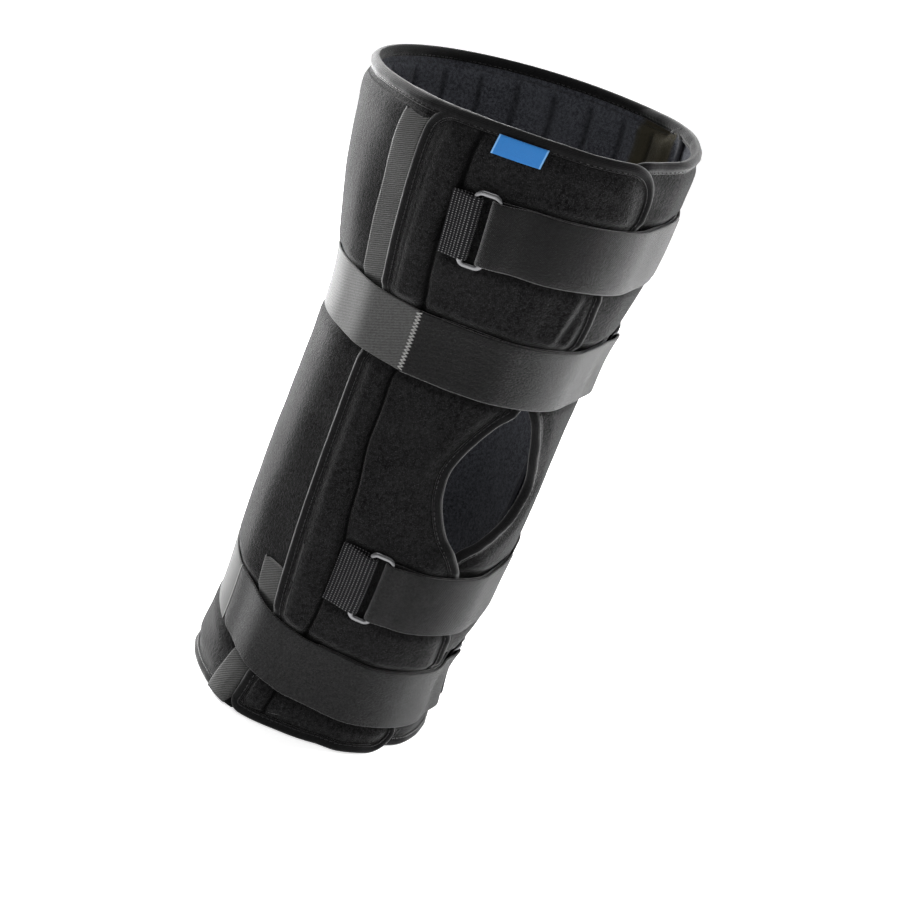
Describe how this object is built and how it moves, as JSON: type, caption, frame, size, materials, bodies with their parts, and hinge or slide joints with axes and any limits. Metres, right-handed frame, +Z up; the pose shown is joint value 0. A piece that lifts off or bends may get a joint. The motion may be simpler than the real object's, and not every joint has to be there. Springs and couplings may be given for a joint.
{
  "type": "knee immobilizer",
  "caption": "Padded wrap-around knee immobilizer sleeve in three taped panels, with a kneecap opening, ring-fastened straps and hook tabs, standing on its bottom rim.",
  "frame": {"origin": "middle of the bottom of the bounding box, on the surface that it stands on", "axes": "+Z up the leg towards the thigh end, -Y the front with the kneecap opening"},
  "size_m": [0.203, 0.2156, 0.4058],
  "materials": {
    "fleece": "brushed loop fleece on a padded laminate, near black, with a slate grey brushed lining",
    "binding_tape": "soft knitted binding tape, black",
    "webbing": "flat brushed loop strap, charcoal",
    "hook_tape": "woven twill face of a hook tab, mid grey",
    "elastic": "ribbed elastic webbing, dark grey with light picks",
    "ring_metal": "nickel plated wire",
    "label": "woven label, plain blue"
  },
  "bodies": {
    "root": {"back_panel": "fleece", "back_panel_binding": "binding_tape", "left_panel": "fleece", "left_panel_binding": "binding_tape", "right_panel": "fleece", "right_panel_binding": "binding_tape", "thigh_strap": "webbing", "thigh_strap_hook_tab": "hook_tape", "thigh_strap_keeper": "elastic", "thigh_strap_ring": "ring_metal", "upper_knee_strap": "webbing", "upper_knee_strap_hook_tab": "hook_tape", "upper_knee_strap_keeper": "elastic", "upper_knee_strap_ring": "ring_metal", "lower_knee_strap": "webbing", "lower_knee_strap_hook_tab": "hook_tape", "lower_knee_strap_keeper": "elastic", "lower_knee_strap_ring": "ring_metal", "calf_strap": "webbing", "calf_strap_hook_tab": "hook_tape", "calf_strap_keeper": "elastic", "calf_strap_ring": "ring_metal", "left_upper_hook_tab": "hook_tape", "left_lower_hook_tab": "hook_tape", "right_upper_hook_tab": "hook_tape", "right_lower_hook_tab": "hook_tape", "woven_label": "label"}
  },
  "joints": []
}
